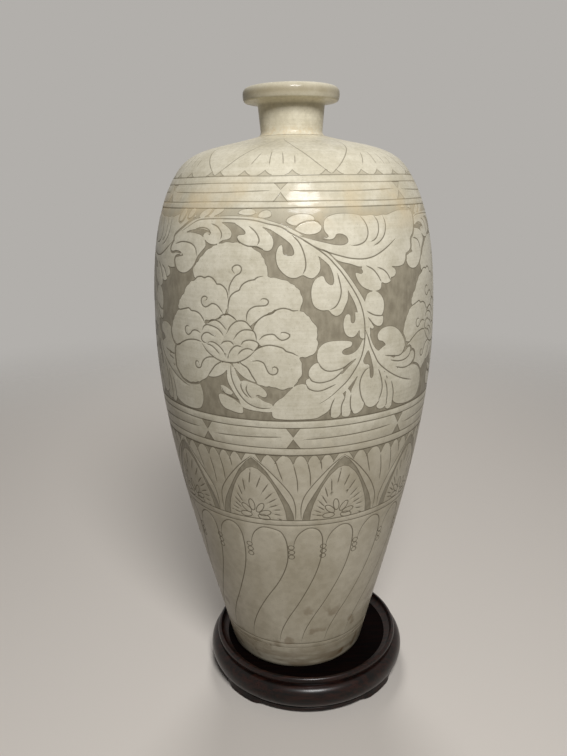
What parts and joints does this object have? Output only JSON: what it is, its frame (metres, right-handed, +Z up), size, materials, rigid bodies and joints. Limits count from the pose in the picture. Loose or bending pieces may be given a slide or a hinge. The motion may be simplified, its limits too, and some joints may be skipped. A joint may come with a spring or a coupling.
{
  "type": "meiping vase on stand",
  "caption": "High-shouldered stoneware meiping vase with a small mouth, carved through pale slip, standing loose in the dished seat of a turned dark wood stand.",
  "frame": {"origin": "on the floor, straight below the vase's axis", "axes": "+Z up along the vase's axis, -Y towards the viewer, +X to the viewer's right"},
  "size_m": [0.1916, 0.1916, 0.4223],
  "materials": {
    "slip_glazed_stoneware": "clear gloss glaze over carved pale slip on grey-brown stoneware",
    "lacquered_wood": "dark red-brown hardwood, polished lacquer"
  },
  "bodies": {
    "stand": {"stand_rim": "lacquered_wood", "seat_board": "lacquered_wood", "foot_pegs": "lacquered_wood", "foot_front_right": "lacquered_wood", "foot_back_right": "lacquered_wood", "foot_back_left": "lacquered_wood", "foot_front_left": "lacquered_wood"},
    "vase": {"lower_body": "slip_glazed_stoneware", "upper_body": "slip_glazed_stoneware", "neck_and_lip": "slip_glazed_stoneware"}
  },
  "joints": [
    {"name": "vase_lift", "type": "slide", "parent": "stand", "child": "vase", "axis": [0, 0, 1], "range_m": [0, 0.06]}
  ]
}
